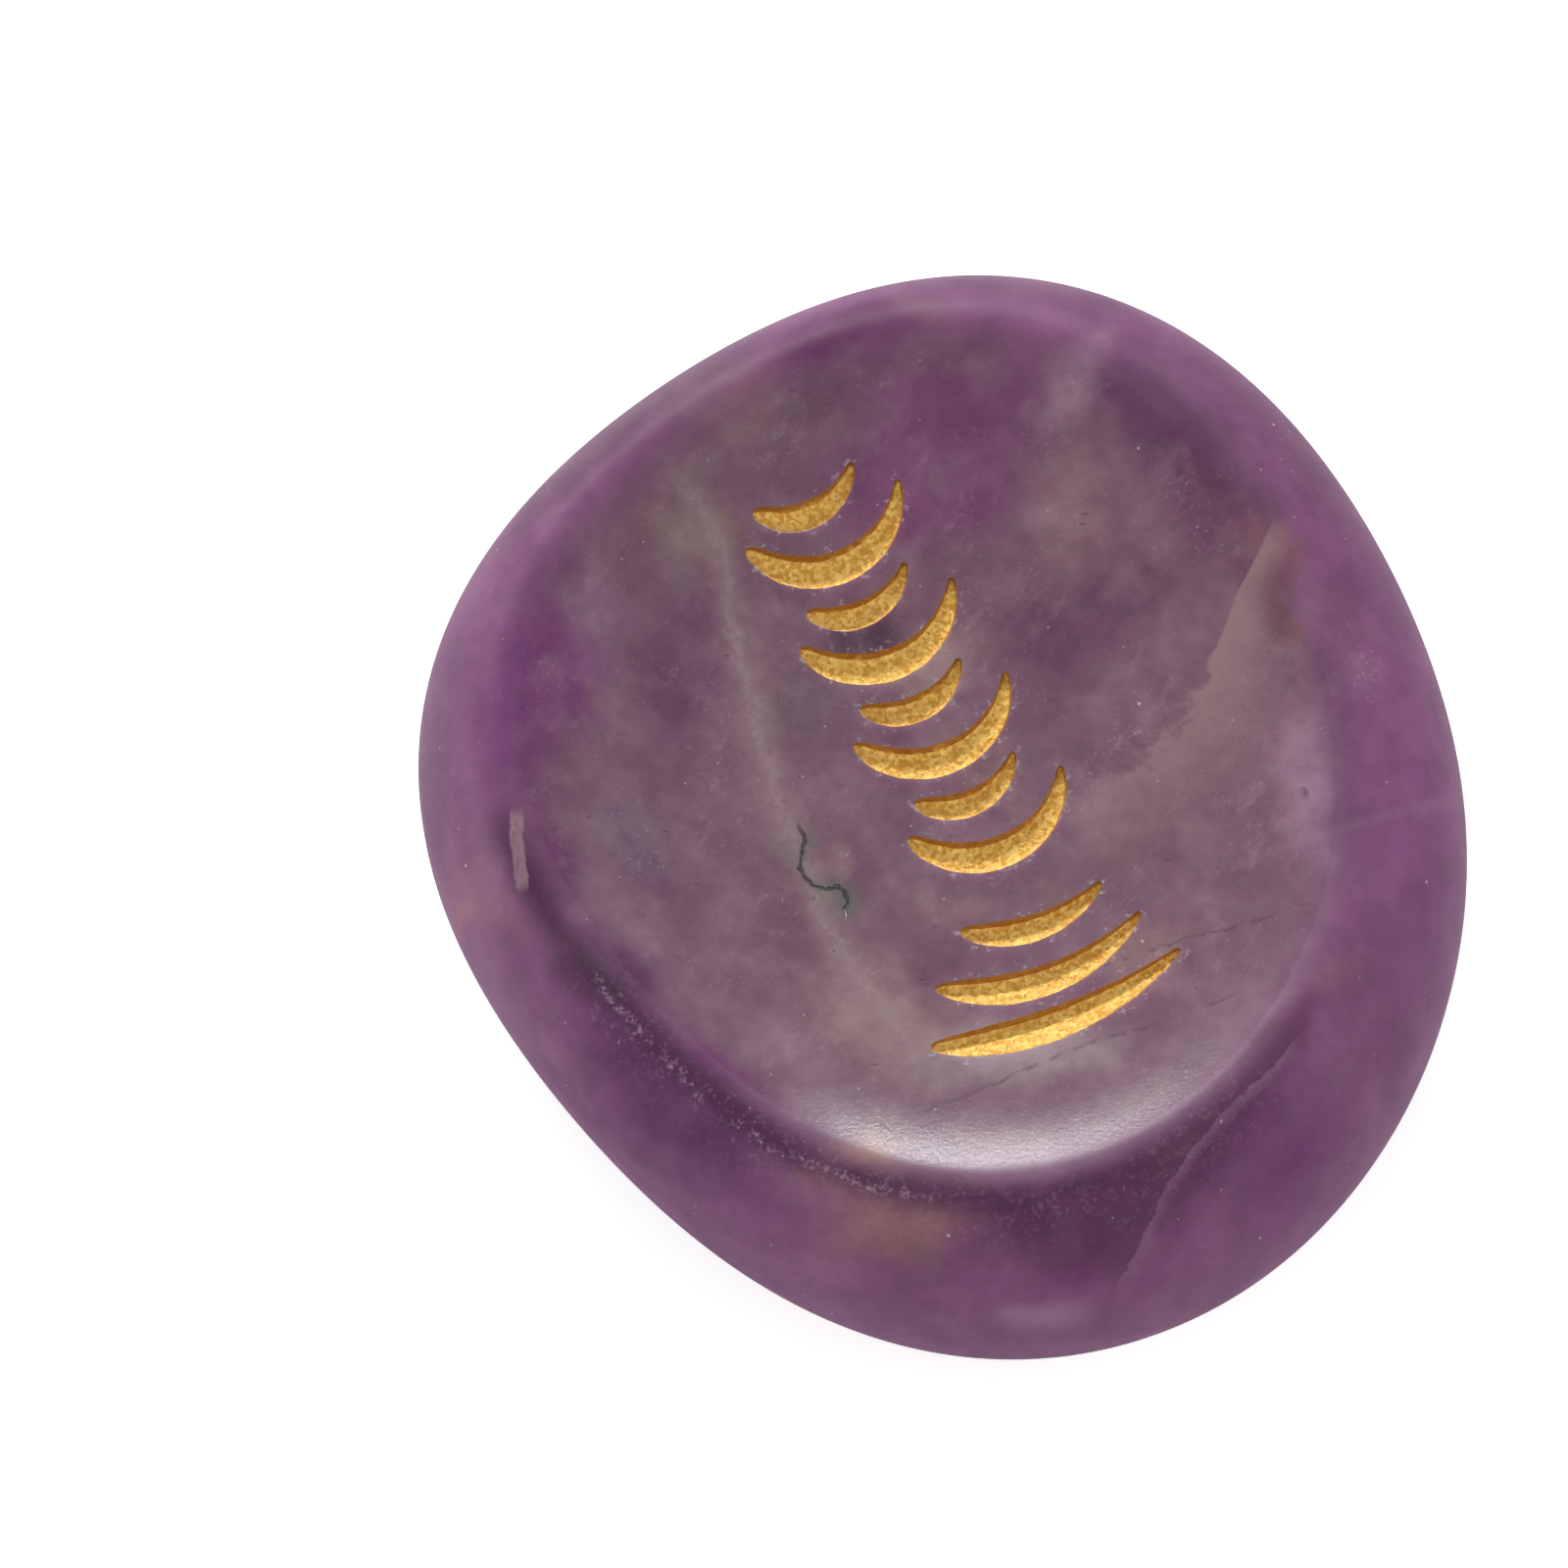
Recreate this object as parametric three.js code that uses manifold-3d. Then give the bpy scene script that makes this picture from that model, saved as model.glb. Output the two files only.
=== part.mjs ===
// An engraved worry stone: a cloudy amethyst pebble with a thumb dish ground into its upper face
// and a row of shallow brush-like strokes cut into the floor of the dish.
// Millimetres, +Z up. The stone lies on its underside, with the middle of its outline at x = y = 0.

import * as THREE from 'three';
import { mergeVertices } from 'three/addons/utils/BufferGeometryUtils.js';
import Module from 'manifold-3d';

// Outline from above: a circle with a few low lobes. A lobe's share is of the mean radius, and its
// turn is where it stands out, in degrees anticlockwise from +X.
const meanRadius = 21.25;
const outlineLobes = [
  { count: 2, share: 0.054, turn: -72.6 },
  { count: 3, share: 0.0304, turn: 57.9 },
  { count: 4, share: 0.0163, turn: -7 },
  { count: 5, share: 0.0029, turn: 9 },
];

// Section of the pebble before the dish is ground: a full round rim, a level crown inside it and a
// domed underside with a small flat rubbed on it.
const widestHeight = 4.8;
const crownRise = 5.8;
const rimRounding = 4.7;
const underFall = 5;
const underFullness = 3;

// The thumb dish, ground a little off the middle of the outline. Its reach is a share of the
// outline's radius, and its steepness is the power by which it climbs from the floor to the crest.
const dishDepth = 2.75;
const dishReach = 0.805;
const dishSteepness = 2.8;
const dishOffset = new THREE.Vector2(-0.8, 0.4);
const crestSoftness = 0.18;

// Engraving: five motifs of nested strokes stand side by side on a base line in the dish, one
// tall motif and then one short motif four times. A stroke runs from one point to another, bowed
// to its left by an angle and swelling to a width. Its points are shares of the motif's height,
// along the base line from the motif's middle and up from the line.
const baseLineStart = new THREE.Vector2(7.2, -5.5);
const baseLineTurn = 118;
const tallHeight = 10;
const shortHeight = 6.7;
const firstShortPlace = 6.6;
const shortMotifs = 4;
const motifPitch = 4.5;
const tallMotif = [
  { from: [-0.24, -0.02], to: [-0.14, 1.02], bow: 40, width: 1.5 },
  { from: [-0.02, 0.03], to: [0.08, 0.88], bow: 66, width: 1.4 },
  { from: [0.17, 0.1], to: [0.25, 0.68], bow: 66, width: 1.2 },
];
const shortMotif = [
  { from: [0.03, 0], to: [0.05, 1], bow: 132, width: 1.4 },
  { from: [0.24, 0.2], to: [0.23, 0.86], bow: 104, width: 1.15 },
];
const engravingDepth = 0.45;
const tipWidth = 0.2;
const swellingLean = 1.35;
const swellingFullness = 0.55;

// How finely the faces are cut.
const outlineSteps = 96;
const underRings = 8;
const rimRings = 9;
const crestRings = 6;
const dishRings = 8;
const strokeSteps = 14;
const cutterClearance = 1;

const radians = THREE.MathUtils.degToRad;

function outlineRadius(angle) {
  let share = 1;
  for (const lobe of outlineLobes) {
    share += lobe.share * Math.cos(lobe.count * (angle - radians(lobe.turn)));
  }
  return meanRadius * share;
}

// The heights of the section, over a share of the way from its middle to the outline.
function crownHeight(share) {
  const intoRim = Math.max(0, 1 - (meanRadius / rimRounding) * (1 - share));
  return widestHeight + crownRise * Math.sqrt(Math.max(0, 1 - intoRim ** 2));
}

function dishHeight(share) {
  return crownHeight(dishReach) - dishDepth * (1 - (share / dishReach) ** dishSteepness);
}

function topHeight(share) {
  const crown = crownHeight(share);
  const dish = dishHeight(share);
  const apart = Math.abs(crown - dish) / crestSoftness;
  return Math.min(crown, dish) - crestSoftness * Math.log1p(Math.exp(-apart));
}

function underHeight(share) {
  const fall = underFall * (1 - share ** underFullness) ** (1 / underFullness);
  return Math.max(0, widestHeight - fall);
}

function evenly(from, to, steps) {
  return Array.from({ length: steps }, (_, i) => from + ((to - from) * i) / steps);
}

// The section's line, from the middle of the underside round the rim to the middle of the dish,
// with its points spaced by angle where it is round and by width elsewhere.
function sectionLine() {
  const flatShare = (1 - (widestHeight / underFall) ** underFullness) ** (1 / underFullness);
  const crestOuter = 0.88;
  const crestInner = 0.72;
  const rimEnd = Math.acos(1 - (meanRadius / rimRounding) * (1 - crestOuter));
  const rimShare = (turn) => 1 - (rimRounding / meanRadius) * (1 - Math.cos(turn));
  const underShare = (turn) => Math.cos(turn) ** (2 / underFullness);
  const underEnd = Math.acos(flatShare ** (underFullness / 2));
  const under = evenly(underEnd, 0, underRings).map(underShare);
  const rim = evenly(0, rimEnd, rimRings).map(rimShare);
  const crest = evenly(crestOuter, crestInner, crestRings);
  const dish = evenly(crestInner, 0, dishRings);
  const line = under.map((share) => new THREE.Vector2(share, underHeight(share)));
  for (const share of [...rim, ...crest, ...dish, 0]) {
    line.push(new THREE.Vector2(share, topHeight(share)));
  }
  return [new THREE.Vector2(0, 0), ...line];
}

// How far a point of the upper face moves with the dish's offset: all the way in the dish, and
// less and less over the rim.
function offsetShare(share, isUpper) {
  return isUpper ? 1 - THREE.MathUtils.smoothstep(share, dishReach, 1) : 0;
}

// A closed geometry as a manifold solid: shared vertices merged, and the slivers on the axis left out.
function solidFrom(wasm, geometry) {
  geometry.deleteAttribute('normal');
  geometry.deleteAttribute('uv');
  const merged = mergeVertices(geometry, 1e-4);
  const index = merged.index.array;
  const triangles = [];
  for (let i = 0; i < index.length; i += 3) {
    const [a, b, c] = index.slice(i, i + 3);
    if (a !== b && b !== c && c !== a) {
      triangles.push(a, b, c);
    }
  }
  return new wasm.Manifold(
    new wasm.Mesh({
      numProp: 3,
      vertProperties: merged.attributes.position.array,
      triVerts: Uint32Array.from(triangles),
    }),
  );
}

// The pebble with its dish: the section's line turned on a lathe, then bent to the outline.
function pebble(wasm) {
  const geometry = new THREE.LatheGeometry(sectionLine(), outlineSteps);
  geometry.rotateX(Math.PI / 2);
  const position = geometry.attributes.position;
  for (let i = 0; i < position.count; i += 1) {
    const turned = new THREE.Vector2(position.getX(i), position.getY(i));
    const share = turned.length();
    const height = position.getZ(i);
    const moved = offsetShare(share, height > widestHeight);
    turned.setLength(share * outlineRadius(turned.angle()));
    turned.addScaledVector(dishOffset, moved);
    position.setXY(i, turned.x, turned.y);
  }
  return solidFrom(wasm, geometry);
}

// Height of the dish's floor over a point of the plan.
function floorHeight(point) {
  const reach = point.clone().sub(dishOffset);
  return topHeight(reach.length() / outlineRadius(reach.angle()));
}

function onBaseLine(along, up) {
  const point = new THREE.Vector2(along, up).rotateAround(new THREE.Vector2(), radians(baseLineTurn));
  return point.add(baseLineStart);
}

// A stroke's closed outline: an arc between its two ends, with a half-width to each side of it.
function strokeOutline({ from, to, bow, width }) {
  const chord = to.clone().sub(from);
  const turn = radians(bow);
  const left = [];
  const right = [];
  for (let i = 0; i <= strokeSteps; i += 1) {
    const t = i / strokeSteps;
    const reach = (chord.length() * Math.sin((turn * t) / 2)) / Math.sin(turn / 2);
    const toward = chord.angle() + (turn / 2) * (1 - t);
    const heading = chord.angle() + turn * (0.5 - t);
    const spine = new THREE.Vector2(reach, 0).rotateAround(new THREE.Vector2(), toward).add(from);
    const swelling = Math.max(0, Math.sin(Math.PI * t ** swellingLean)) ** swellingFullness;
    const halfWidth = (tipWidth + (width - tipWidth) * swelling) / 2;
    const side = new THREE.Vector2(-Math.sin(heading), Math.cos(heading)).multiplyScalar(halfWidth);
    left.push(spine.clone().add(side));
    right.push(spine.clone().sub(side));
  }
  return [...right, ...left.reverse()];
}

// The cutter for a stroke: its outline as a prism whose lower end follows the dish's floor, a
// little under it.
function strokeCutter(wasm, stroke) {
  const shape = new THREE.Shape(strokeOutline(stroke));
  const geometry = new THREE.ExtrudeGeometry(shape, { depth: 1, bevelEnabled: false });
  const position = geometry.attributes.position;
  for (let i = 0; i < position.count; i += 1) {
    const point = new THREE.Vector2(position.getX(i), position.getY(i));
    const isLower = position.getZ(i) === 0;
    const clear = crownHeight(0) + cutterClearance;
    position.setZ(i, isLower ? floorHeight(point) - engravingDepth : clear);
  }
  return solidFrom(wasm, geometry);
}

// A motif's strokes, placed on the base line.
function motifStrokes(motif, place, height) {
  const placed = ([along, up]) => onBaseLine(place + along * height, up * height);
  return motif.map(({ from, to, bow, width }) => ({ from: placed(from), to: placed(to), bow, width }));
}

function engraving() {
  const strokes = motifStrokes(tallMotif, 0, tallHeight);
  for (const place of evenly(firstShortPlace, firstShortPlace + shortMotifs * motifPitch, shortMotifs)) {
    strokes.push(...motifStrokes(shortMotif, place, shortHeight));
  }
  return strokes;
}

function geometryFrom(solid) {
  const { vertProperties, triVerts } = solid.getMesh();
  const geometry = new THREE.BufferGeometry();
  geometry.setAttribute('position', new THREE.BufferAttribute(vertProperties, 3));
  geometry.setIndex(new THREE.BufferAttribute(triVerts, 1));
  return geometry;
}

// The stone, with the middle of its outline brought to the origin.
function worryStone(wasm) {
  let solid = pebble(wasm);
  for (const stroke of engraving()) {
    solid = solid.subtract(strokeCutter(wasm, stroke));
  }
  const geometry = geometryFrom(solid);
  geometry.computeBoundingBox();
  const middle = geometry.boundingBox.getCenter(new THREE.Vector3());
  geometry.translate(-middle.x, -middle.y, 0);
  geometry.computeVertexNormals();
  const amethyst = new THREE.MeshStandardMaterial({ color: 0x71476b, roughness: 0.3, metalness: 0 });
  const mesh = new THREE.Mesh(geometry, amethyst);
  mesh.name = 'worry_stone';
  return mesh;
}

const wasm = await Module();
wasm.setup();

const model = new THREE.Group();
model.add(worryStone(wasm));

export default model;
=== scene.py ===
import math

import bpy
import numpy as np
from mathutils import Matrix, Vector, noise


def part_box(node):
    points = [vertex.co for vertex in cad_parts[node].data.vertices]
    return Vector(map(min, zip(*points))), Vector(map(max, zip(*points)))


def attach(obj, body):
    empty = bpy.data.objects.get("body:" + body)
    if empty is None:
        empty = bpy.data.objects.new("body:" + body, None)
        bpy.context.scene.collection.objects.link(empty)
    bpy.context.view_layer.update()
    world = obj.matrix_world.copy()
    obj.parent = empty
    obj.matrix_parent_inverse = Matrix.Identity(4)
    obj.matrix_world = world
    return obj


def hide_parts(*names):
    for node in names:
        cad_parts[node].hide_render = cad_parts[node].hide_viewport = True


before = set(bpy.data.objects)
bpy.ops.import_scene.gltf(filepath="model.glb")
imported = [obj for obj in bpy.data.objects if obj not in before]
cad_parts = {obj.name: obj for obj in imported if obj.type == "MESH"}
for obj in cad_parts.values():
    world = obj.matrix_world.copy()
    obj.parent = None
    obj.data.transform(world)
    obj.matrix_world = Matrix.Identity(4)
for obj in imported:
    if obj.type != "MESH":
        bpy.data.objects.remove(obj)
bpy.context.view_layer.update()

MM = 0.001

# The pebble's outline from above: a circle with a few low lobes, each with a count, its share of the
# mean radius, and where it stands out, in degrees anticlockwise from +X.
MEAN_RADIUS = 21.25 * MM
OUTLINE_LOBES = [(2, 0.054, -72.6), (3, 0.0304, 57.9), (4, 0.0163, -7), (5, 0.0029, 9)]

# The pebble's section: a full round rim, and a domed underside with a small flat rubbed on it.
WIDEST_HEIGHT = 4.8 * MM
CROWN_RISE = 5.8 * MM
RIM_ROUNDING = 4.7 * MM
UNDER_FALL = 5 * MM
UNDER_FULLNESS = 3

# The thumb dish, ground a little off the middle of the outline.
DISH_DEPTH = 2.75 * MM
DISH_REACH = 0.805
DISH_STEEPNESS = 2.8
DISH_OFFSET = np.array([-0.8, 0.4]) * MM
CREST_SOFTNESS = 0.18 * MM

# The engraving: motifs of nested strokes side by side on a base line, one tall and then four short.
# A stroke has the place it starts, the place it ends, how far it bows to its left, and its width.
# Places are shares of the motif's height, along the base line and up from it.
BASE_LINE_START = np.array([7.2, -5.5]) * MM
BASE_LINE_TURN = math.radians(118)
TALL_HEIGHT = 10 * MM
SHORT_HEIGHT = 6.7 * MM
FIRST_SHORT_PLACE = 6.6 * MM
SHORT_MOTIFS = 4
MOTIF_PITCH = 4.5 * MM
TALL_MOTIF = [
    ((-0.24, -0.02), (-0.14, 1.02), 40, 1.5 * MM),
    ((-0.02, 0.03), (0.08, 0.88), 66, 1.4 * MM),
    ((0.17, 0.1), (0.25, 0.68), 66, 1.2 * MM),
]
SHORT_MOTIF = [
    ((0.03, 0), (0.05, 1), 132, 1.4 * MM),
    ((0.24, 0.2), (0.23, 0.86), 104, 1.15 * MM),
]
ENGRAVING_DEPTH = 0.45 * MM
TIP_WIDTH = 0.2 * MM
SWELLING_LEAN = 1.35
SWELLING_FULLNESS = 0.55

# The cuts' edges wander and chip, and their floors are left rough, each by noise of a size. A cut is
# shallower near its tips, and its walls slope from a share of its half width out to its edge.
EDGE_WANDER = 0.03 * MM
WANDER_SIZE = 0.9 * MM
EDGE_CHIPPING = 0.022 * MM
CHIP_SIZE = 0.25 * MM
ROUGH_FLOOR = 0.05 * MM
GRAIN_SIZE = 0.22 * MM
TIP_DEPTH = 0.55
WALL_START = 0.74
EDGE_CLEARANCE = 0.06 * MM
CUT_CLEARANCE = 3 * MM

# How finely the surface is divided.
OUTLINE_STEPS = 432
DISH_RING_PITCH = 0.2 * MM
CREST_RINGS = 26
RIM_RINGS = 26
UNDER_RINGS = 24
STROKE_PITCH = 0.16 * MM
STROKE_ACROSS = 10
SHARP_ANGLE = math.radians(38)

# Without a seed, noise_vector takes one from the clock and differs on each run.
NOISE_SEED = 3

# What the stone looks like inside, in millimetres of the plan and display colours. A cloud is an
# oval: its middle, its length and width, its turn, its colour and how strongly it shows.
RIM_PURPLE = (121, 80, 113)
DISH_MAUVE = (114, 86, 103)
CLOUDS = [
    # Duller places round the rim
    ((-12.5, 14.5), 17, 4.4, 42, (102, 74, 94), 0.75),
    ((1.5, 21.4), 16, 3, -5, (106, 74, 98), 0.6),
    ((13.6, 14.4), 13, 3.4, -48, (108, 74, 100), 0.5),
    ((-20, 2), 12, 3, 85, (106, 72, 102), 0.5),
    ((18.6, -3), 16, 4, 85, (128, 80, 122), 0.5),
    # Deep and saturated purple
    ((-4.1, 18), 7, 3, 12, (100, 52, 92), 0.9),
    ((1, 15.6), 11, 4.6, 0, (116, 66, 108), 0.65),
    ((8.6, 14.6), 8, 4, -45, (99, 62, 94), 0.85),
    ((11.3, 11.2), 8, 4, -55, (100, 63, 91), 0.85),
    ((5.5, 6.6), 9, 5, 35, (98, 66, 90), 0.8),
    ((-0.5, 12.8), 10, 6, 10, (112, 68, 104), 0.8),
    ((-15.8, 2.8), 11, 4.6, 85, (110, 60, 106), 0.85),
    ((-15.2, -4.4), 4, 2.8, -60, (98, 54, 92), 0.8),
    ((-13.2, -8.6), 5, 3.4, -50, (92, 44, 86), 0.9),
    ((-10.4, -13.6), 12, 5, -42, (98, 46, 94), 1),
    ((-10.4, -15), 3, 2.2, -40, (98, 48, 94), 0.7),
    ((4, -19.2), 8, 3.6, 3, (100, 52, 92), 0.9),
    ((9, -16.6), 9, 3.4, 35, (100, 50, 94), 0.9),
    ((12.9, -11.6), 4.5, 2.6, 50, (102, 58, 92), 0.8),
    ((13, -16), 6, 4.6, 50, (116, 66, 112), 0.8),
    ((15.5, 5.5), 6, 2, 80, (106, 70, 94), 0.6),
    # Dull and dark places on the floor
    ((-10.6, 4.4), 8, 5, 75, (100, 70, 96), 0.85),
    ((-2.8, 6.4), 5, 3.8, 20, (86, 62, 78), 0.9),
    ((-6, 8.6), 3.6, 3, 40, (98, 70, 88), 0.7),
    ((5.2, -4.6), 6, 4.4, 20, (110, 86, 100), 0.7),
    ((-5.2, 3.6), 5, 4.5, 0, (104, 84, 96), 0.6),
    ((-12, -2.6), 6, 4, -60, (108, 86, 106), 0.6),
    # Pale, milky clouds, and one painted reflection
    ((5.3, 16), 5, 2.6, 60, (134, 106, 126), 0.8),
    ((4.6, 10.6), 7, 4.4, 50, (122, 94, 107), 0.6),
    ((-0.6, 4.6), 5.5, 2.4, 15, (130, 108, 112), 0.7),
    ((1.8, 0.8), 5, 3, -40, (122, 98, 104), 0.6),
    ((-9.6, 9.8), 3.6, 2.8, -60, (124, 102, 104), 0.7),
    ((-14, 6.5), 6, 3.4, 75, (124, 94, 118), 0.6),
    ((-2.6, -10.5), 8, 5.5, -50, (138, 114, 120), 0.8),
    ((2.4, -11.8), 9, 4, 15, (140, 122, 132), 0.8),
    ((-6.4, -11.6), 6, 2.6, -42, (130, 106, 124), 0.6),
    # A painted reflection of the lights: a pale lavender band on the east inner wall of the dish.
    ((14, -1), 9, 3, 85, (142, 112, 134), 0.7),
    ((0.4, -6.4), 4, 3, 0, (128, 102, 112), 0.5),
    ((8.2, -8), 5, 2.6, 20, (134, 108, 112), 0.6),
    # Brown, olive and grey-green stains
    ((-8.9, 10.4), 2.6, 1.6, -60, (122, 98, 86), 0.55),
    ((-0.6, 18.9), 4, 1.6, 0, (122, 92, 104), 0.6),
    ((-8.3, 15.8), 6, 3, 30, (130, 98, 112), 0.6),
    ((-3.2, -17), 4, 2.8, 40, (138, 106, 101), 0.8),
    ((-1.4, -18.8), 7, 4, 5, (136, 101, 103), 0.85),
    ((14.4, -9.6), 3, 2.4, 40, (124, 90, 106), 0.6),
    ((13.2, 8.8), 4.5, 2.4, -60, (120, 84, 92), 0.6),
    ((12.9, 6), 4, 1.6, -75, (106, 74, 84), 0.7),
    ((-17.6, -4.8), 5, 3, -65, (132, 98, 112), 0.5),
    ((-18.5, -5.2), 1.8, 1.4, 0, (144, 104, 112), 0.5),
    ((-16.4, -6.5), 1.6, 1, -60, (124, 80, 88), 0.35),
    ((-4.7, -5.1), 2.4, 1.8, -70, (90, 94, 92), 0.85),
    ((-6.5, -2.4), 2.4, 1.5, -60, (110, 102, 104), 0.5),
    ((-4.6, -3.2), 1.6, 1.6, 0, (138, 112, 118), 0.6),
    ((13.7, -1.7), 0.7, 0.7, 0, (84, 66, 84), 0.7),
]

# Soft bands of painted light and shade along the dish's crest. The dark bands just outside the crest on the
# south-west and south, and the one on the crest at the east, are painted shade where the slope turns away
# from the lights, over purple that is deep there too. The pale band inside the south-west crest is part
# painted reflection, part pale cloud.
# A band runs from one angle to another, in degrees anticlockwise from +X, at a share of the outline's radius,
# and has a width, a colour and a strength.
CREST_LIGHT_AND_SHADE = [
    (-176, -100, 0.822, 1.6, (76, 34, 72), 0.95),
    (-114, -40, 0.822, 1.6, (80, 38, 74), 0.95),
    (-166, -118, 0.7, 2.6, (122, 98, 116), 0.6),
    (-28, 24, 0.8, 1.2, (100, 60, 96), 0.6),
    (-92, -42, 0.86, 2.4, (92, 44, 84), 0.5),
]
BAND_FADE = 14

# The gloss and the light scattered in the stone wash its colours out, so they are laid on more
# strongly than they are seen: further from a middle colour by a power, and with a gain.
MIDDLE_COLOUR = (114, 84, 104)
DEEPENING = 1.35
RIM_GAIN = (0.98, 0.82, 0.93)
DISH_GAIN = (1.05, 0.96, 0.97)

# Where the markings change from one part of the stone to another: over which heights the upper face
# begins, over which shares of the radius the dish's colours and its polish end, and over which
# distances from a stroke's edge the white chips end. Below, clouds show at a share of their strength.
UPPER_FACE = (3.5 * MM, 6 * MM)
DISH_EDGE = (0.72, 0.83)
POLISH_EDGE = (0.755, 0.795)
CHIPPED_EDGE = (-0.05 * MM, 0.4 * MM)
SHOWN_BELOW = 0.35

# The clouds' outlines and the bands wander, and the finer mottling drifts: sizes, reaches and seeds.
CLOUD_WANDERINGS = [(4.5 * MM, 1.3 * MM, 3), (1.5 * MM, 0.6 * MM, 11), (0.6 * MM, 0.25 * MM, 17)]
BAND_WANDERING = (4 * MM, 0.3 * MM, 23)
DRIFT = (1.6 * MM, 0.5 * MM, 29)

# Mottling: its sizes and depths, how far red, green, blue and alpha go with it, and the seeds of the
# noise in it, in the milk and in the patches where wisps show.
MOTTLES = [(3 * MM, 0.15), (1.3 * MM, 0.1)]
MOTTLE_TINT = np.array([0.9, 1.25, 0.85, 0])
MOTTLE_SEED = 31
MILK_SIZE = 1.9 * MM
MILK_SEED = 37
WISP_PATCHES = 2.6 * MM
WISP_SEED = 41

# Lines in the stone, and one line of painted highlight, from end to end, in millimetres of the plan.
VEIN = [(-11.6, 13.6), (-10.5, 12.3), (-9.6, 11.3), (-8.7, 9.4), (-8.2, 6.3), (-7.6, 3.9), (-7.1, 1.4),
        (-6.3, -1.2), (-5.6, -3.2), (-4.4, -6.6), (-3.2, -8.6), (-1.4, -11), (-0.6, -14)]
CRACK = [(-5.8, -1.7), (-5.4, -2.4), (-5.5, -3.3), (-5.6, -3.8), (-5.2, -4.5), (-4.6, -4.7), (-4.1, -4.5),
         (-3.7, -5.1), (-3.9, -6)]
LOWER_SEAM = [(-2.6, -15.6), (-1, -14.4), (1.2, -13.4), (3.4, -12.3), (6, -11.2), (8, -10.7), (10.8, -9.8),
              (12.6, -9)]
UPPER_SEAM = [(3.4, -8.6), (5.6, -8.2), (9.4, -7), (12.1, -6.5), (14.6, -5.8)]
VEIL_EDGE = [(13.2, 10.4), (12.5, 8.9), (11.6, 7.3), (11, 5.7), (10.1, 4.2), (9.2, 2.6), (7.8, 1.2),
             (5.7, -0.2), (3.9, -1.4)]
FRACTURE = [(13.9, -11.2), (12.8, -12.5), (10.6, -14.6), (9, -16.6), (8, -18.4), (7.2, -20), (6.2, -21.6)]
SPECKLED_BAND = [(-14.6, -7), (-13.6, -9.4), (-10.0, -13.7), (-6.6, -16.3), (-4.3, -17.3), (-1.4, -18.5),
                 (2, -19), (6.9, -18.2), (12.2, -13.7), (14, -11.4)]
DUSTY_LINE = [(-13.9, -8.2), (-13.2, -9.7), (-11.9, -11.5), (-10.2, -13.2), (-8.8, -14.6), (-6.6, -16.2),
              (-3, -17.8), (0.6, -18.4)]
# A painted highlight: a short pale glint low on the front of the rim, where a light would catch it.
PAINTED_GLINT_LINE = [(1, -21.9), (3.4, -22), (6.2, -21.7)]
PAINTED_GLINT_HALF = 2.6 * MM
FAINT_ARC = [(10.6, -4.4), (12.5, -3.6), (16.2, -2.9), (19, -1.6), (20.8, -0.4)]
SLIVER = [(-16.6, -2.2), (-16.6, -3.6), (-16.3, -5.7)]

MILK = (150, 128, 138)

# Where milky wisps are thickest: ovals as above, each with how thick they are.
WISPS = [
    ((5.5, 15), 6, 3, 60, 0.9),
    ((4, 10), 8, 5, 50, 0.7),
    ((7.6, 1), 9, 4, 42, 1),
    ((11, 6), 7, 3, 70, 0.7),
    ((-7.8, 8), 12, 3, -75, 0.8),
    ((16.3, 3.9), 4, 2.4, -40, 1),
    ((-2, -9.5), 9, 5, -50, 0.8),
    ((-4.4, -3.8), 3, 3, 0, 0.9),
    ((-12, 0), 9, 6, 80, 0.5),
    ((0.8, 14.4), 4, 3, 30, 0.7),
]

# White specks: a cell's size, the chance of a speck in it and how much that grows in the speckled
# band, the speck's size in cells, and how clearly it shows.
SPECKS = [(1.1 * MM, 0.1, 0.08, 0.04, 0.7), (0.42 * MM, 0.04, 0.06, 0.08, 0.35)]

# How rough rim and dish are, and how deep the fine relief of the stone and of the gold is.
RIM_ROUGHNESS = 0.52
DISH_ROUGHNESS = 0.15
STONE_RELIEF = 0.12 * MM
FLAKE_RELIEF = 0.05 * MM

# The table, in metres, is a hair under the stone. Its paper glows a little, and more to the camera.
TABLE_SIZE = 3
TABLE_GAP = 0.03 * MM
PAPER_GLOW = 0.1
PAPER_GLOW_SEEN = 0.5

# The softboxes, all as far off: azimuth and elevation, the angles over which the stone sees one,
# across and up, and its radiance. An azimuth runs anticlockwise from +X.
LIGHTS_AWAY = 0.7
SOFTBOXES = [
    ("key_softbox", 101, 31, 48, 5, 33),
    ("left_softbox", 170, 14, 40, 14, 4.8),
    ("front_left_softbox", 240, 38, 40, 24, 2.2),
    ("right_softbox", 0, 33, 40, 24, 2.1),
    ("front_right_softbox", 320, 22, 40, 16, 1.3),
]

# The room is dark near the table and dim overhead. It brightens as the direction looked in rises,
# from one upward share of that direction to another.
SKY_STRENGTH = 0.48
SKY_STARTS = 0.34
SKY_FULL = 0.6

# The camera looks along +Y and steeply down, from far off, as the photograph's does.
CAMERA_ELEVATION = 68
CAMERA_AWAY = 344.5 * MM
CAMERA_TARGET = Vector((-6.22, 0.98, 5.0)) * MM
CAMERA_LENS = 200


def colour(red, green, blue):
    """A display colour, from 0 to 255, as the linear values that a shader takes."""

    def linear(level):
        share = level / 255
        return share / 12.92 if share <= 0.04045 else ((share + 0.055) / 1.055) ** 2.4

    return (linear(red), linear(green), linear(blue), 1)


def smoothstep(value, low, high):
    share = np.clip((value - low) / (high - low), 0, 1)
    return share * share * (3 - 2 * share)


# The pebble's form


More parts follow.
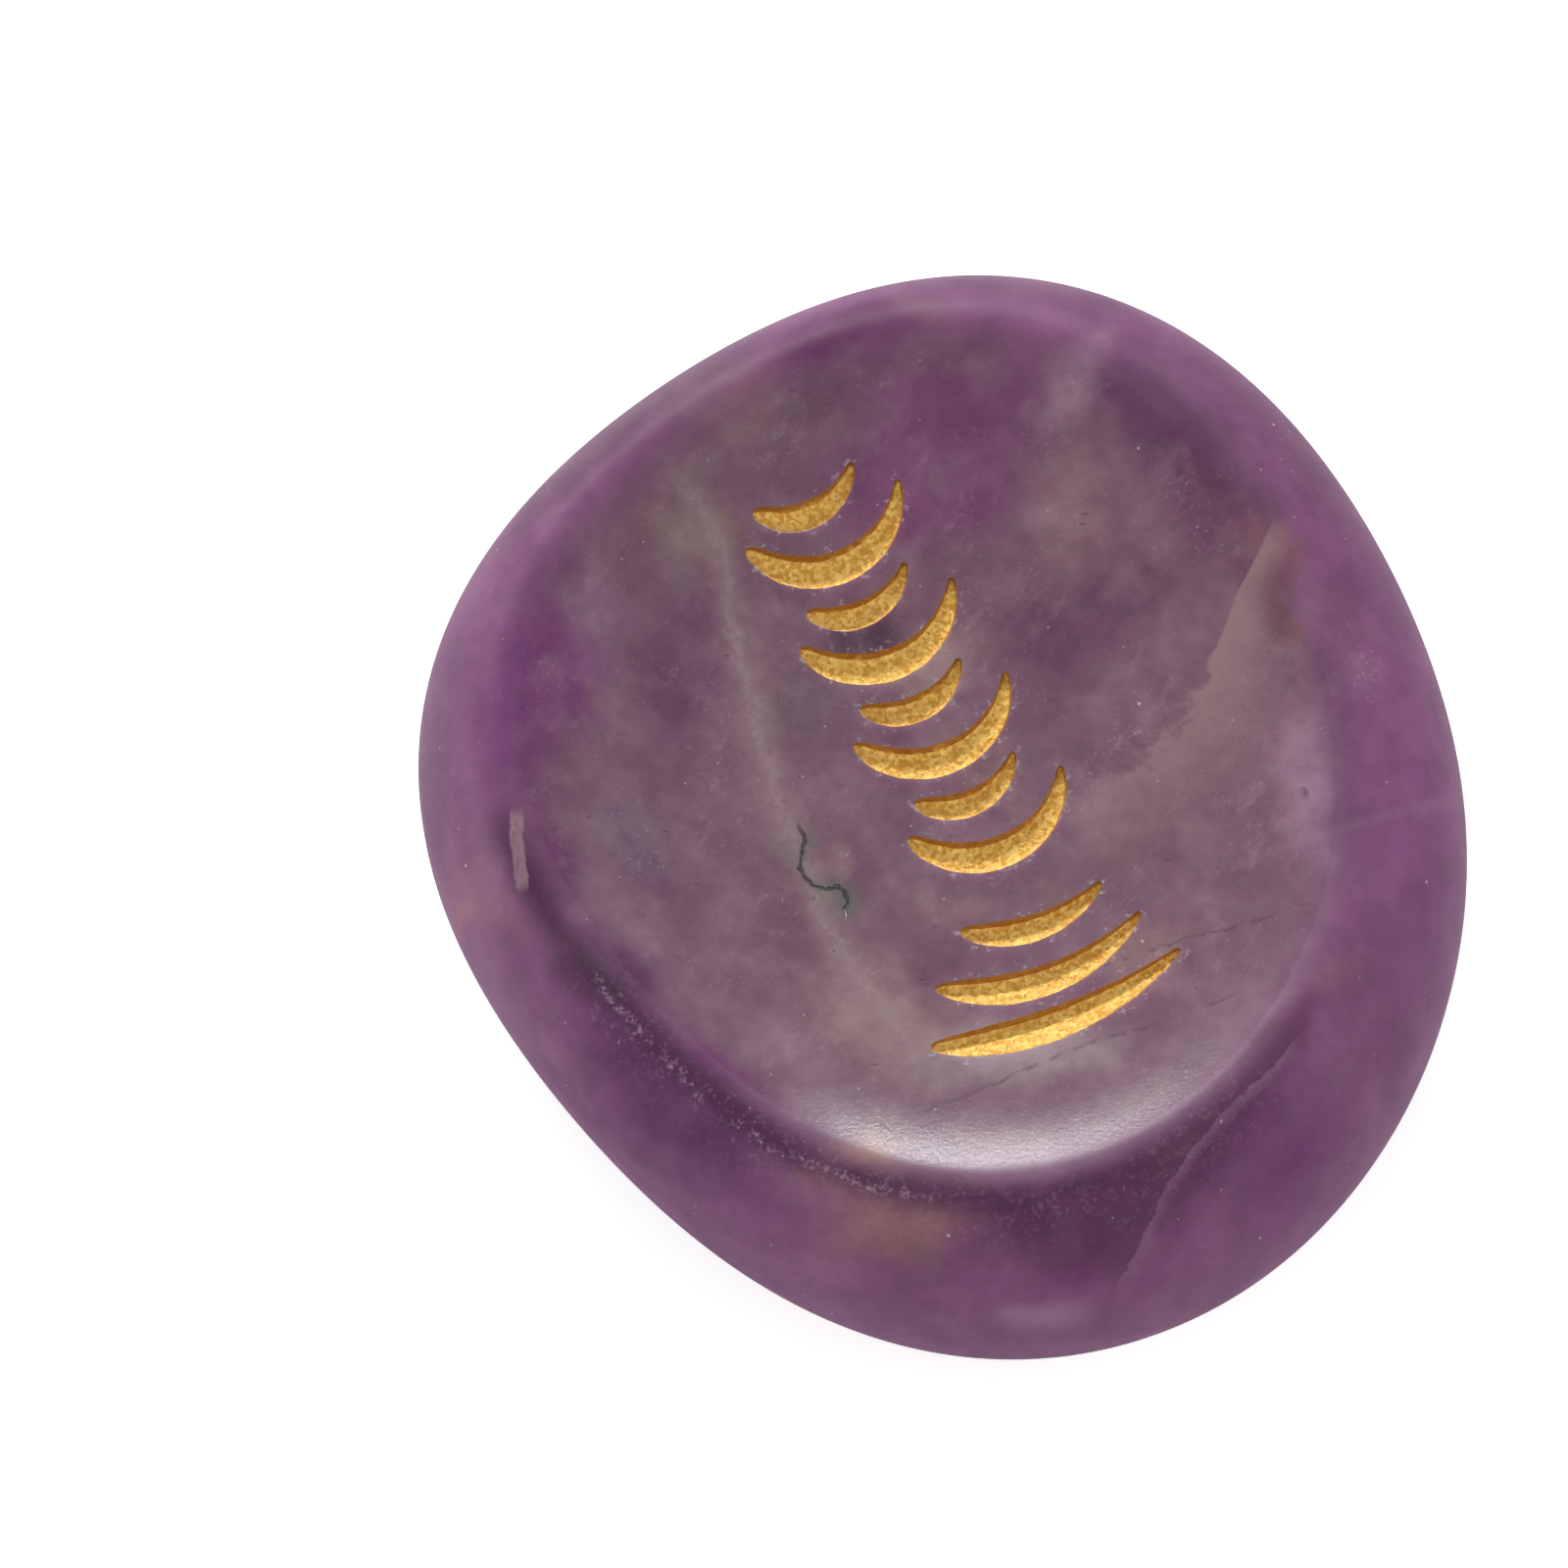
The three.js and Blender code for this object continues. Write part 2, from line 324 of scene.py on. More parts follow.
def outline_radius(angle):
    share = 1
    for count, lobe, turn in OUTLINE_LOBES:
        share = share + lobe * np.cos(count * (angle - math.radians(turn)))
    return MEAN_RADIUS * share


def crown_height(share):
    into_rim = np.maximum(0, 1 - (MEAN_RADIUS / RIM_ROUNDING) * (1 - share))
    return WIDEST_HEIGHT + CROWN_RISE * np.sqrt(np.maximum(0, 1 - into_rim**2))


def top_height(share):
    """The upper face: the crown with the dish ground into it, and the crest between them rounded."""
    crown = crown_height(share)
    dish = crown_height(DISH_REACH) - DISH_DEPTH * (1 - (share / DISH_REACH) ** DISH_STEEPNESS)
    apart = np.abs(crown - dish) / CREST_SOFTNESS
    return np.minimum(crown, dish) - CREST_SOFTNESS * np.log1p(np.exp(-apart))


def under_height(share):
    fall = UNDER_FALL * (1 - share**UNDER_FULLNESS) ** (1 / UNDER_FULLNESS)
    return np.maximum(0, WIDEST_HEIGHT - fall)


def section_line():
    """Shares of the radius and heights, from the middle of the underside to the middle of the dish."""
    flat_share = (1 - (WIDEST_HEIGHT / UNDER_FALL) ** UNDER_FULLNESS) ** (1 / UNDER_FULLNESS)
    crest_outer = 0.88
    crest_inner = 0.72
    under_turn = np.linspace(math.acos(flat_share ** (UNDER_FULLNESS / 2)), 0, UNDER_RINGS, endpoint=False)
    under = np.cos(under_turn) ** (2 / UNDER_FULLNESS)
    rim_end = math.acos(1 - (MEAN_RADIUS / RIM_ROUNDING) * (1 - crest_outer))
    rim_turn = np.linspace(0, rim_end, RIM_RINGS, endpoint=False)
    rim = 1 - (RIM_ROUNDING / MEAN_RADIUS) * (1 - np.cos(rim_turn))
    crest = np.linspace(crest_outer, crest_inner, CREST_RINGS, endpoint=False)
    dish = np.linspace(crest_inner, 0, round(crest_inner * MEAN_RADIUS / DISH_RING_PITCH))
    upper = np.concatenate([rim, crest, dish])
    flat = [(0, 0), (flat_share / 2, 0)]
    return flat + list(zip(under, under_height(under))) + list(zip(upper, top_height(upper)))


def plan_angle(places):
    return np.arctan2(places[:, 1], places[:, 0])


def start_over():
    """Leaves edit mode with nothing selected."""
    if bpy.context.object and bpy.context.object.mode == "EDIT":
        bpy.ops.object.mode_set(mode="OBJECT")
    bpy.ops.object.select_all(action="DESELECT")


def corners(piece):
    """The places of a piece's corners, as rows of x, y and z."""
    places = np.zeros(len(piece.data.vertices) * 3)
    piece.data.vertices.foreach_get("co", places)
    return places.reshape(-1, 3)


def set_corners(piece, places):
    piece.data.vertices.foreach_set("co", places.ravel())
    piece.data.update()


def section_wire():
    """Half of a circle of edges, drawn to the section's line, on the +X side of the axis."""
    line = section_line()
    start_over()
    bpy.ops.mesh.primitive_circle_add(
        vertices=2 * (len(line) - 1), radius=MEAN_RADIUS, fill_type="NOTHING", rotation=(math.pi / 2, 0, 0)
    )
    wire = bpy.context.object
    bpy.ops.object.transform_apply(location=False, rotation=True, scale=False)
    bpy.ops.object.mode_set(mode="EDIT")
    bpy.ops.mesh.select_all(action="DESELECT")
    bpy.ops.object.mode_set(mode="OBJECT")
    for corner in wire.data.vertices:
        corner.select = corner.co.x < -MEAN_RADIUS / len(line) / 2
    bpy.ops.object.mode_set(mode="EDIT")
    bpy.ops.mesh.delete(type="VERT")
    bpy.ops.object.mode_set(mode="OBJECT")
    upwards = sorted(wire.data.vertices, key=lambda corner: corner.co.z)
    for corner, (share, height) in zip(upwards, line):
        corner.co = (share * MEAN_RADIUS, 0, height)
    return wire


def bend_to_outline(pebble):
    """Moves the turned pebble's corners out to its outline, and the upper face's over with the dish."""
    places = corners(pebble)
    share = np.hypot(places[:, 0], places[:, 1]) / MEAN_RADIUS
    angle = plan_angle(places)
    radius = share * outline_radius(angle)
    is_upper = places[:, 2] > WIDEST_HEIGHT
    moved = np.where(is_upper, 1 - smoothstep(share, DISH_REACH, 1), 0)
    places[:, 0] = radius * np.cos(angle) + DISH_OFFSET[0] * moved
    places[:, 1] = radius * np.sin(angle) + DISH_OFFSET[1] * moved
    set_corners(pebble, places)


def turn_pebble():
    pebble = section_wire()
    bpy.ops.object.mode_set(mode="EDIT")
    bpy.ops.mesh.select_all(action="SELECT")
    bpy.ops.mesh.spin(steps=OUTLINE_STEPS, angle=2 * math.pi, center=(0, 0, 0), axis=(0, 0, 1))
    bpy.ops.mesh.select_all(action="SELECT")
    bpy.ops.mesh.remove_doubles(threshold=1e-6)
    bpy.ops.mesh.normals_make_consistent(inside=False)
    bpy.ops.object.mode_set(mode="OBJECT")
    bend_to_outline(pebble)
    pebble.name = "amethyst_worry_stone"
    return pebble


# The engraving's form


def turned(places, angle):
    """Places of the plan turned anticlockwise about the origin."""
    cosine, sine = math.cos(angle), math.sin(angle)
    return np.stack(
        [places[..., 0] * cosine - places[..., 1] * sine, places[..., 0] * sine + places[..., 1] * cosine], -1
    )


def placed_strokes():
    """Every stroke of the engraving, with its two ends in the plan, its bow and its width."""
    motifs = [(TALL_MOTIF, 0, TALL_HEIGHT)]
    for number in range(SHORT_MOTIFS):
        motifs.append((SHORT_MOTIF, FIRST_SHORT_PLACE + number * MOTIF_PITCH, SHORT_HEIGHT))
    strokes = []
    for motif, place, height in motifs:
        for start, end, bow, width in motif:
            ends = [
                turned(np.array([place + along * height, up * height]), BASE_LINE_TURN) + BASE_LINE_START
                for along, up in (start, end)
            ]
            strokes.append((*ends, math.radians(bow), width))
    return strokes


def floor_height(places):
    """Height of the dish's floor over places of the plan."""
    reach = places[:, :2] - DISH_OFFSET
    return top_height(np.hypot(reach[:, 0], reach[:, 1]) / outline_radius(plan_angle(reach)))


def swelling_at(along):
    return np.maximum(0, np.sin(math.pi * along**SWELLING_LEAN)) ** SWELLING_FULLNESS


def stroke_at(start, end, bow, width, along):
    """A stroke's middle, the way to its left and half its width, at shares of its length."""
    chord = end - start
    length = np.hypot(*chord)
    chord_angle = math.atan2(chord[1], chord[0])
    toward = chord_angle + bow / 2 * (1 - along)
    heading = chord_angle + bow * (0.5 - along)
    reach = length * np.sin(bow * along / 2) / math.sin(bow / 2)
    middle = start + np.stack([reach * np.cos(toward), reach * np.sin(toward)], -1)
    side = np.stack([-np.sin(heading), np.cos(heading)], -1)
    half_width = (TIP_WIDTH + (width - TIP_WIDTH) * swelling_at(along)) / 2
    return middle, side, half_width


def graver_cut(start, end, bow, width):
    """A closed block for one stroke: its lower face is the cut's floor, with sloping, ragged walls."""
    start_over()
    bpy.ops.mesh.primitive_grid_add(
        x_subdivisions=round(np.hypot(*(end - start)) / STROKE_PITCH), y_subdivisions=STROKE_ACROSS, size=2
    )
    block = bpy.context.object
    places = corners(block)
    along = (places[:, 0] + 1) / 2
    across = places[:, 1]
    middle, side, half_width = stroke_at(start, end, bow, width, along)
    swelling = swelling_at(along)
    plan = middle + side * (across * half_width)[:, None]
    plan += ragged(plan, np.abs(across) ** 4)
    floor = floor_height(plan)
    depth = ENGRAVING_DEPTH * (TIP_DEPTH + (1 - TIP_DEPTH) * swelling)
    walls = smoothstep(np.abs(across), WALL_START, 1)
    grain = ROUGH_FLOOR * np.array([noise.noise(Vector((x, y, 0)) / GRAIN_SIZE) for x, y in plan])
    height = floor - depth * (1 - walls) + grain * (1 - walls) + EDGE_CLEARANCE * walls
    set_corners(block, np.column_stack([plan, height]))
    bpy.ops.object.mode_set(mode="EDIT")
    bpy.ops.mesh.select_all(action="SELECT")
    bpy.ops.mesh.extrude_region_move(TRANSFORM_OT_translate={"value": (0, 0, CUT_CLEARANCE)})
    bpy.ops.mesh.select_all(action="SELECT")
    bpy.ops.mesh.normals_make_consistent(inside=False)
    bpy.ops.object.mode_set(mode="OBJECT")
    return block


def ragged(plan, share):
    """Small wanderings of places of the plan, scaled by a share at each."""
    steps = []
    for (x, y), amount in zip(plan, share):
        slow = noise.noise_vector(Vector((x, y, 0.01)) / WANDER_SIZE) * EDGE_WANDER
        quick = noise.noise_vector(Vector((x, y, 0.02)) / CHIP_SIZE) * EDGE_CHIPPING
        steps.append(((slow + quick) * amount)[:2])
    return np.array(steps)


def engrave(pebble, gilding):
    cuts = [graver_cut(*stroke) for stroke in placed_strokes()]
    for cut in cuts:
        cut.data.materials.append(gilding)
    start_over()
    for cut in cuts:
        cut.select_set(True)
    bpy.context.view_layer.objects.active = cuts[0]
    bpy.ops.object.join()
    start_over()
    bpy.context.view_layer.objects.active = pebble
    pebble.select_set(True)
    carve = pebble.modifiers.new("engraving", "BOOLEAN")
    carve.operation = "DIFFERENCE"
    carve.solver = "MANIFOLD"
    carve.material_mode = "TRANSFER"
    carve.object = cuts[0]
    bpy.ops.object.modifier_apply(modifier=carve.name)
    bpy.data.objects.remove(cuts[0])


def settle(pebble):
    """Moves the pebble over the solid that it stands for, and gives back how far it moved in the plan."""
    places = corners(pebble)
    low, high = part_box("worry_stone")
    middle = (np.array(low[:2]) + np.array(high[:2])) / 2
    moved = middle - (places.min(0)[:2] + places.max(0)[:2]) / 2
    places[:, :2] += moved
    set_corners(pebble, places)
    return moved


# The stone's markings, painted on its corners


def noise_start(seed):
    """Where in the noise a seed's own stretch of it starts."""
    return Vector((seed, 1.7 * seed, 0.6 * seed))


def wandering(places, size, reach, seed):
    """Smooth wanderings in three directions at places, up to about a reach."""
    start = noise_start(seed)
    return reach * np.array([noise.noise_vector(Vector(place) / size + start) for place in places])


def mottling(places, size, octaves, seed):
    """Uneven noise around a half at places, with detail down to a fraction of its size."""
    start = noise_start(seed)
    levels = [noise.fractal(Vector(place) / size + start, 0.7, 2, octaves) for place in places]
    return 0.5 + 0.27 * np.array(levels)


def oval_share(plan, middle, length, width, turn):
    """One in the middle of a soft oval of the plan, and nothing outside it."""
    spot = turned(plan - np.array(middle) * MM, -math.radians(turn))
    reach = np.hypot(spot[:, 0] / length, spot[:, 1] / width) * 2 / MM
    return 1 - smoothstep(reach, 0.25, 1.25)


def along_line(plan, line):
    """How far places lie to a line's left and along it, and a share that fades at the line's ends."""
    ends = np.array(line) * MM
    best = np.full(len(plan), np.inf)
    across = np.zeros(len(plan))
    along = np.zeros(len(plan))
    passed = 0
    for start, end in zip(ends[:-1], ends[1:]):
        run = end - start
        length = np.hypot(*run)
        run = run / length
        from_start = plan - start
        forward = np.clip(from_start @ run, 0, length)
        aside = from_start - forward[:, None] * run
        away = np.hypot(aside[:, 0], aside[:, 1])
        is_left = run[0] * from_start[:, 1] - run[1] * from_start[:, 0] > 0
        nearer = away < best
        best = np.where(nearer, away, best)
        across = np.where(nearer, np.where(is_left, away, -away), across)
        along = np.where(nearer, passed + forward, along)
        passed += length
    fading = smoothstep(along, 0, 0.12 * passed) * (1 - smoothstep(along, 0.88 * passed, passed))
    return np.column_stack([across, along, fading])


def keep(piece, name, kind, values):
    """Stores a value for each corner of a piece as an attribute that its material reads."""
    made = piece.data.attributes.new(name, kind, "POINT")
    field = {"FLOAT": "value", "FLOAT_VECTOR": "vector", "FLOAT_COLOR": "color"}[kind]
    made.data.foreach_set(field, np.ascontiguousarray(values, dtype=np.float32).ravel())


def gap_to_strokes(plan):
    """How far places of the plan are from the nearest stroke's edge."""
    gap = np.full(len(plan), np.inf)
    for start, end, bow, width in placed_strokes():
        for along in np.linspace(0, 1, 25):
            middle, _, half_width = stroke_at(start, end, bow, width, np.array([along]))
            away = np.hypot(*(plan - middle[0]).T) - half_width[0]
            gap = np.minimum(gap, away)
    return gap


def laid_over(tint, shade, amount):
    """A tint at each corner, with a display colour laid over it by an amount at each."""
    amount = amount[:, None]
    return tint * (1 - amount) + np.array(colour(*shade)) * amount


def clouded(plan, in_dish, shown):
    """The rim's and the dish's colours with the clouds over them."""
    rim = np.array(colour(*RIM_PURPLE))
    dish = np.array(colour(*DISH_MAUVE))
    tint = rim * (1 - in_dish)[:, None] + dish * in_dish[:, None]
    for middle, length, width, turn, shade, strength in CLOUDS:
        tint = laid_over(tint, shade, oval_share(plan, middle, length, width, turn) * strength * shown)
    return tint


def painted_crest_light_and_shade(tint, share, around, shown):
    """A tint with the painted shade and painted reflection of the bands along the crest laid over it."""
    # Painted shade and a painted reflection along the crest, laid into the stone's colour.
    for first, last, band_share, width, shade, strength in CREST_LIGHT_AND_SHADE:
        away = np.abs(share - band_share) * MEAN_RADIUS
        begun = smoothstep(around, first, first + BAND_FADE)
        ended = smoothstep(around, last - BAND_FADE, last)
        across = 1 - smoothstep(away, 0, 0.75 * width * MM)
        tint = laid_over(tint, shade, across * begun * (1 - ended) * strength * shown)
    return tint


def deepened(tint, in_dish):
    """A tint taken further from the middle colour, with the rim's and the dish's gain."""
    middle = np.array(colour(*MIDDLE_COLOUR))
    gain = np.array([*RIM_GAIN, 1]) * (1 - in_dish)[:, None] + np.array([*DISH_GAIN, 1]) * in_dish[:, None]
    return middle * (tint / middle) ** DEEPENING * gain


def paint_markings(stone, moved):
    """Stores the stone's colours and markings on its corners. Moved is how far the pebble was settled."""
    places = corners(stone)
    plan = places[:, :2]
    made_at = plan - moved
    reach = made_at - DISH_OFFSET
    angle = plan_angle(reach)
    share = np.hypot(reach[:, 0], reach[:, 1]) / outline_radius(angle)
    is_upper = smoothstep(places[:, 2], *UPPER_FACE)
    in_dish = (1 - smoothstep(share, *DISH_EDGE)) * is_upper
    shown = SHOWN_BELOW + (1 - SHOWN_BELOW) * is_upper
    wandered = plan + sum(wandering(places, *kind) for kind in CLOUD_WANDERINGS)[:, :2]
    swayed = share + wandering(places, *BAND_WANDERING)[:, 0] / MEAN_RADIUS
    drifted = places + wandering(places, *DRIFT)
    tint = clouded(wandered, in_dish, shown)
    tint = deepened(painted_crest_light_and_shade(tint, swayed, np.degrees(angle), shown), in_dish)
    for size, depth in MOTTLES:
        mottled = smoothstep(mottling(drifted, size, 4, MOTTLE_SEED), 0.2, 0.8)[:, None] * 2 - 1
        tint = tint * (1 + mottled * depth * MOTTLE_TINT)
    wisps = 0.3 * in_dish + 0.15
    for middle, length, width, turn, strength in WISPS:
        wisps = np.maximum(wisps, oval_share(wandered, middle, length, width, turn) * strength * shown)
    milk = smoothstep(mottling(drifted, MILK_SIZE, 5, MILK_SEED), 0.46, 0.78) * wisps * 0.5
    tint = laid_over(tint, MILK, milk)
    patches = smoothstep(mottling(places, WISP_PATCHES, 3, WISP_SEED), 0.35, 0.65)
    keep(stone, "tint", "FLOAT_COLOR", tint)
    keep(stone, "wisps", "FLOAT", wisps * patches)
    keep(stone, "dish", "FLOAT", in_dish)
    keep(stone, "polish", "FLOAT", (1 - smoothstep(share, *POLISH_EDGE)) * is_upper)
    keep(stone, "chips", "FLOAT", 1 - smoothstep(gap_to_strokes(made_at), *CHIPPED_EDGE))
    lines = {
        "vein": VEIN,
        "crack": CRACK,
        "lower_seam": LOWER_SEAM,
        "upper_seam": UPPER_SEAM,
        "veil": VEIL_EDGE,
        "fracture": FRACTURE,
        "speckled_band": SPECKLED_BAND,
        "dusty_line": DUSTY_LINE,
        "faint_arc": FAINT_ARC,
        "painted_glint": PAINTED_GLINT_LINE,
        "sliver": SLIVER,
    }
    for name, line in lines.items():
        placed = along_line(plan, line)
        placed[:, 2] *= is_upper
        keep(stone, name, "FLOAT_VECTOR", placed)


# Finishes


class Finish:
    """A material, with short ways to lay out its nodes."""

    def __init__(self, name):
        self.material = bpy.data.materials.new(name)
        self.material.use_nodes = True
        self.nodes = self.material.node_tree.nodes
        self.links = self.material.node_tree.links
        self.shader = self.nodes["Principled BSDF"]
        self.place = self.nodes.new("ShaderNodeTexCoord").outputs["Object"]
        self.laid = {}

    def feed(self, socket, value):
        if isinstance(value, bpy.types.NodeSocket):
            self.links.new(value, socket)
        else:
            socket.default_value = value

    def set(self, name, value):
        self.feed(self.shader.inputs[name], value)

    def attribute(self, name):
        node = self.nodes.new("ShaderNodeAttribute")
        node.attribute_name = name
        return node.outputs

    def math(self, operation, *values):
        node = self.nodes.new("ShaderNodeMath")
        node.operation = operation
        for socket, value in zip(node.inputs, values):
            self.feed(socket, value)
        return node.outputs["Value"]

    def between(self, value, low, high, low_to=0.0, high_to=1.0):
        """A smooth step of a value, from one level at low to another at high."""
        node = self.nodes.new("ShaderNodeMapRange")
        node.interpolation_type = "SMOOTHSTEP"
        for socket, level in zip(node.inputs, (value, low, high, low_to, high_to)):
            self.feed(socket, level)
        return node.outputs["Result"]

    def noise(self, size, detail, roughness, place=None):
        """Noise of a size. Asked for again, it is the same node, since each one slows the render."""
        kind = (size, detail, roughness, place)
        if kind not in self.laid:
            node = self.nodes.new("ShaderNodeTexNoise")
            self.feed(node.inputs["Vector"], place or self.place)
            node.inputs["Scale"].default_value = 1 / size
            node.inputs["Detail"].default_value = detail
            node.inputs["Roughness"].default_value = roughness
            self.laid[kind] = node.outputs["Fac"]
        return self.laid[kind]

    def clumps(self):
        """Lumps about a millimetre across, which break lines up and lead them astray."""
        return self.noise(0.9 * MM, 5, 0.6)

    def tatters(self):
        """Finer lumps, which fray edges."""
        return self.noise(0.35 * MM, 4, 0.6)

    def dust(self):
        """The finest grain."""
        return self.noise(0.16 * MM, 2, 0.6)

    def cells(self, size, place=None):
        """How far a place is from the middle of its cell, and a chance between 0 and 1 for the cell."""
        node = self.nodes.new("ShaderNodeTexVoronoi")
        self.feed(node.inputs["Vector"], place or self.place)
        node.inputs["Scale"].default_value = 1 / size
        apart = self.nodes.new("ShaderNodeSeparateColor")
        self.links.new(node.outputs["Color"], apart.inputs["Color"])
        return node.outputs["Distance"], apart.outputs["Red"]

    def stretched(self, turn, stretch):
        """Object places turned about the vertical and drawn out along X."""
        node = self.nodes.new("ShaderNodeMapping")
        node.vector_type = "TEXTURE"
        self.links.new(self.place, node.inputs["Vector"])
        node.inputs["Rotation"].default_value = (0, 0, math.radians(turn))
        node.inputs["Scale"].default_value = (stretch, 1, 1)
        return node.outputs["Vector"]

    def mix(self, share, first, second, way="MIX"):
        node = self.nodes.new("ShaderNodeMix")
        node.data_type = "RGBA"
        node.blend_type = way
        for number, value in ((0, share), (6, first), (7, second)):
            self.feed(node.inputs[number], value)
        return node.outputs[2]

    def product(self, *values):
        """All the values multiplied together."""
        made = values[0]
        for value in values[1:]:
            made = self.math("MULTIPLY", made, value)
        return made

    def stain(self, tint, strength, shade, *shares):
        """A tint with a shade laid over it, as strongly as all the shares together."""
        return self.mix(self.product(strength, *shares), tint, shade)

    def astray(self, across, lumps, reach):
        """A distance from a line, led astray by lumps of noise over a reach."""
        return self.math("ADD", across, self.product(self.math("SUBTRACT", lumps, 0.5), reach))

    def near(self, across, core, edge):
        """One within a line's core, and nothing beyond its edge."""
        return self.between(self.math("ABSOLUTE", across), core, edge, 1.0, 0.0)

    def line(self, name):
        """How far a place lies to a painted line's left and along it, and how strongly the line shows."""
        apart = self.nodes.new("ShaderNodeSeparateXYZ")
        self.links.new(self.attribute(name)["Vector"], apart.inputs["Vector"])
        return apart.outputs["X"], apart.outputs["Y"], apart.outputs["Z"]

    def bump(self, height, depth):
        """Normals of a surface raised by a height from 0 to 1, of a depth in metres."""
        node = self.nodes.new("ShaderNodeBump")
        node.inputs["Distance"].default_value = depth
        self.links.new(height, node.inputs["Height"])
        return node.outputs["Normal"]


def veil(finish, tint):
    """A pale veil on one side of an edge that is sharp at the top and torn below."""
    across, along, strength = finish.line("veil")
    tearing = finish.between(along, 5 * MM, 9 * MM, 0.1 * MM, 3.4 * MM)
    across = finish.astray(across, finish.clumps(), tearing)
    width = finish.between(along, 3 * MM, 9 * MM, 1.5 * MM, 5 * MM)
    fading = finish.between(finish.math("DIVIDE", across, width), 0, 1, 1.0, 0.0)
    weakening = finish.between(along, 6 * MM, 16 * MM, 0.75, 0.5)
    softness = finish.between(along, 5 * MM, 9 * MM, 0.05 * MM, 0.8 * MM)
    edge = finish.between(across, 0, softness)
    return finish.stain(tint, 1.0, colour(148, 122, 124), edge, fading, weakening, strength)


def vein(finish, tint):
    """A soft, ragged vein of grey, with frayed strands and a few brown inclusions."""
    across, _, strength = finish.line("vein")
    across = finish.astray(across, finish.clumps(), 1.6 * MM)
    broken = finish.between(finish.tatters(), 0.25, 0.6)
    tint = finish.stain(tint, 0.55, colour(142, 118, 123), finish.near(across, 0.1 * MM, 1.2 * MM), strength)
    frayed = finish.astray(across, finish.tatters(), 0.7 * MM)
    strands = finish.near(frayed, 0.02 * MM, 0.4 * MM)
    tint = finish.stain(tint, 0.3, colour(158, 141, 143), strands, broken, strength)
    grains = finish.between(finish.tatters(), 0.64, 0.7)
    core = finish.near(across, 0.1 * MM, 0.5 * MM)
    return finish.stain(tint, 0.5, colour(84, 64, 46), core, grains, strength)


def wisps(finish, tint):
    """Feathery threads and fine dust, where the stone is painted with them."""
    thick = finish.attribute("wisps")["Fac"]
    feathers = finish.between(finish.noise(0.8 * MM, 5, 0.7, finish.stretched(50, 2.2)), 0.54, 0.74)
    tint = finish.stain(tint, 0.5, colour(168, 152, 160), feathers, thick)
    dust = finish.between(finish.dust(), 0.56, 0.7)
    patches = finish.between(finish.tatters(), 0.4, 0.6)
    return finish.stain(tint, 0.4, colour(184, 168, 176), dust, patches, thick)


def fracture(finish, tint):
    """A fracture that crosses the rim: dark within, pale along its edge."""
    across, _, strength = finish.line("fracture")
    across = finish.astray(across, finish.clumps(), 0.8 * MM)
    within = finish.between(across, -1.8 * MM, -0.05 * MM)
    edge = finish.between(across, 0, 0.05 * MM, 1.0, 0.0)
    tint = finish.stain(tint, 0.5, colour(84, 46, 74), within, edge, strength)
    outside = finish.between(across, 0, 0.06 * MM)
    fading = finish.between(across, 0.08 * MM, 0.6 * MM, 1.0, 0.0)
    return finish.stain(tint, 0.32, colour(154, 114, 146), outside, fading, strength)


def seams(finish, tint):
    """Two thin dark seams, broken, across the foot of the dish."""
    for name in ("lower_seam", "upper_seam"):
        across, _, strength = finish.line(name)
        across = finish.astray(across, finish.clumps(), 0.7 * MM)
        seam = finish.near(across, 0.02 * MM, 0.13 * MM)
        broken = finish.between(finish.clumps(), 0.38, 0.56)
        tint = finish.stain(tint, 0.55, colour(84, 70, 74), seam, broken, strength)
    return tint


def glint_arc_and_sliver(finish, tint):
    """A painted highlight low on the front of the rim, a faint pale arc through the rim, and a pale sliver of
    another crystal with a frayed outline.
    """
    # A painted highlight: a pale glint that tapers towards its ends.
    across, along, strength = finish.line("painted_glint")
    tapered = finish.near(finish.math("SUBTRACT", along, PAINTED_GLINT_HALF), 0.4 * MM, PAINTED_GLINT_HALF)
    tint = finish.stain(tint, 0.4, colour(172, 138, 166), finish.near(across, 0, 0.5 * MM), tapered, strength)
    across, _, strength = finish.line("faint_arc")
    tint = finish.stain(tint, 0.12, colour(166, 134, 156), finish.near(across, 0.05 * MM, 0.4 * MM), strength)
    across, _, strength = finish.line("sliver")
    across = finish.astray(across, finish.tatters(), 0.3 * MM)
    tint = finish.stain(tint, 0.6, colour(154, 126, 132), finish.near(across, 0.2 * MM, 0.3 * MM), strength)
    hollow = finish.between(finish.tatters(), 0.52, 0.6)
    core = finish.near(across, 0.08 * MM, 0.2 * MM)
    return finish.stain(tint, 0.5, colour(104, 72, 88), core, hollow, strength)


